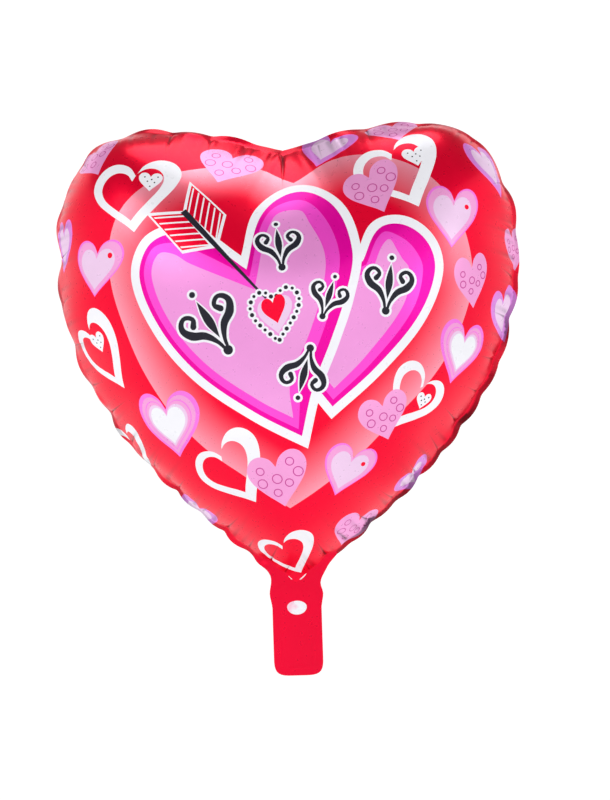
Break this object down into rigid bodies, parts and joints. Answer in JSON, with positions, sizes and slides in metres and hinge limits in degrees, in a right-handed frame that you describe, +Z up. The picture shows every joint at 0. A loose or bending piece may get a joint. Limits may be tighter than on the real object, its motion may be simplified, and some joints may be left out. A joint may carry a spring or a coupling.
{
  "type": "foil balloon",
  "caption": "Inflated heart-shaped foil balloon with a welded rim, printed hearts and arrow, and a flat tail with an inflation hole that folds at the neck.",
  "frame": {"origin": "on the fold line at the root of the tail, in the plane of the welded seam, where a ribbon is tied", "axes": "+Z up along the heart's centre line, -Y out of the printed front, +X to the right as seen from the front"},
  "size_m": [0.37, 0.1832, 0.4349],
  "materials": {
    "printed_foil": "metallised film with a glossy print",
    "back_foil": "metallised film with the same glossy print",
    "valve_film": "milky polythene film"
  },
  "bodies": {
    "balloon": {"front_panel": "printed_foil", "back_panel": "back_foil", "valve_front_neck": "valve_film", "valve_back_neck": "valve_film"},
    "tail": {"tail_front_ply": "printed_foil", "tail_back_ply": "back_foil", "valve_front_tail": "valve_film", "valve_back_tail": "valve_film"},
    "valve_front": {"valve_front_flap": "valve_film"},
    "valve_back": {"valve_back_flap": "valve_film"}
  },
  "joints": [
    {"name": "tail_fold", "type": "hinge", "parent": "balloon", "child": "tail", "pos_m": [0, 0, 0], "axis": [1, 0, 0], "range_deg": [-100, 100], "stiffness_Nm_per_rad": 0.0005},
    {"name": "valve_front_open", "type": "hinge", "parent": "balloon", "child": "valve_front", "pos_m": [0, -0.00038, 0.0205], "axis": [1, 0, 0], "range_deg": [0, 15], "stiffness_Nm_per_rad": 0.0002},
    {"name": "valve_back_open", "type": "hinge", "parent": "balloon", "child": "valve_back", "pos_m": [0, 0.00038, 0.0205], "axis": [-1, 0, 0], "range_deg": [0, 15], "stiffness_Nm_per_rad": 0.0002}
  ],
  "couplings": [
    {"joint": "valve_back_open", "follows": "valve_front_open", "ratio": 1}
  ]
}
